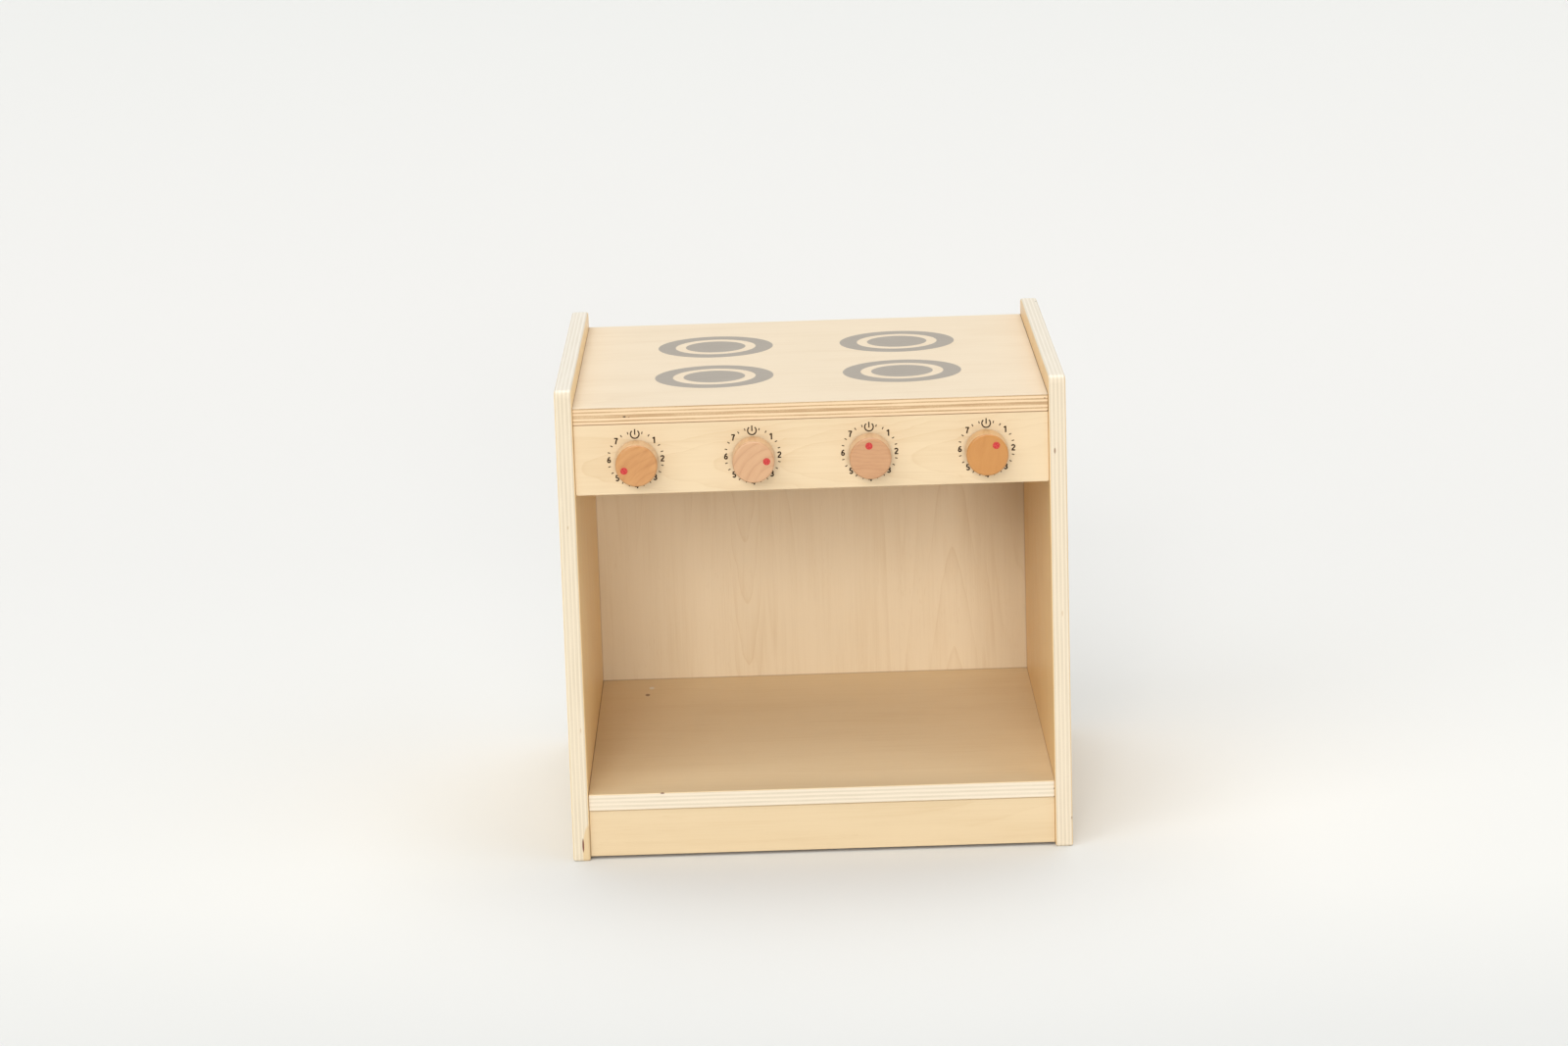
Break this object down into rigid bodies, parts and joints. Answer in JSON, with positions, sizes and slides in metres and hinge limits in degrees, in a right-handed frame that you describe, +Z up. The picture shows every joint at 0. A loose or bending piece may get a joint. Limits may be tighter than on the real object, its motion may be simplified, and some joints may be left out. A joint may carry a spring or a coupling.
{
  "type": "toy oven",
  "caption": "Toddler's plywood toy oven: open oven space under a hob with printed burner rings, a front board with turning wooden knobs over numbered dials, a kick board and raised side panels.",
  "frame": {"origin": "on the floor, in the middle of the outline with the knobs included", "axes": "+Z up, +X to the right as seen from the front, +Y from the knobs towards the back panel"},
  "size_m": [0.44, 0.4206, 0.4215],
  "materials": {
    "birch_ply": "clear satin lacquer over pale plywood, layers showing at the edges",
    "thin_ply": "clear satin lacquer over thin plywood",
    "beech_knob": "turned hardwood, clear satin lacquer",
    "beech_pin": "plain hardwood dowel",
    "zinc_steel": "bright zinc plate",
    "brass": "plain",
    "nylon": "natural nylon",
    "red_paint": "red enamel in a shallow drilled spot"
  },
  "bodies": {
    "carcass": {"left_side_panel": "birch_ply", "right_side_panel": "birch_ply", "hob_top": "birch_ply", "control_panel": "birch_ply", "oven_shelf": "birch_ply", "kick_board": "birch_ply", "back_panel": "thin_ply", "dowels_left": "beech_pin", "dowels_right": "beech_pin", "carcass_screws_left": "zinc_steel", "carcass_screws_right": "zinc_steel", "cover_plugs_left": "beech_pin", "cover_plugs_right": "beech_pin", "back_panel_screws": "zinc_steel", "knob_front_washers": "nylon", "knob_rear_washers": "zinc_steel"},
    "knob_body_1": {"knob_1": "beech_knob", "pointer_dot_1": "red_paint", "knob_insert_1": "brass", "knob_bolt_1": "zinc_steel"},
    "knob_body_2": {"knob_2": "beech_knob", "pointer_dot_2": "red_paint", "knob_insert_2": "brass", "knob_bolt_2": "zinc_steel"},
    "knob_body_3": {"knob_3": "beech_knob", "pointer_dot_3": "red_paint", "knob_insert_3": "brass", "knob_bolt_3": "zinc_steel"},
    "knob_body_4": {"knob_4": "beech_knob", "pointer_dot_4": "red_paint", "knob_insert_4": "brass", "knob_bolt_4": "zinc_steel"}
  },
  "joints": [
    {"name": "knob_1_turn", "type": "hinge", "parent": "carcass", "child": "knob_body_1", "pos_m": [-0.15075, -0.18725, 0.35825], "axis": [0, 1, 0], "continuous": true},
    {"name": "knob_2_turn", "type": "hinge", "parent": "carcass", "child": "knob_body_2", "pos_m": [-0.05025, -0.18725, 0.35825], "axis": [0, 1, 0], "continuous": true},
    {"name": "knob_3_turn", "type": "hinge", "parent": "carcass", "child": "knob_body_3", "pos_m": [0.05025, -0.18725, 0.35825], "axis": [0, 1, 0], "continuous": true},
    {"name": "knob_4_turn", "type": "hinge", "parent": "carcass", "child": "knob_body_4", "pos_m": [0.15075, -0.18725, 0.35825], "axis": [0, 1, 0], "continuous": true}
  ]
}
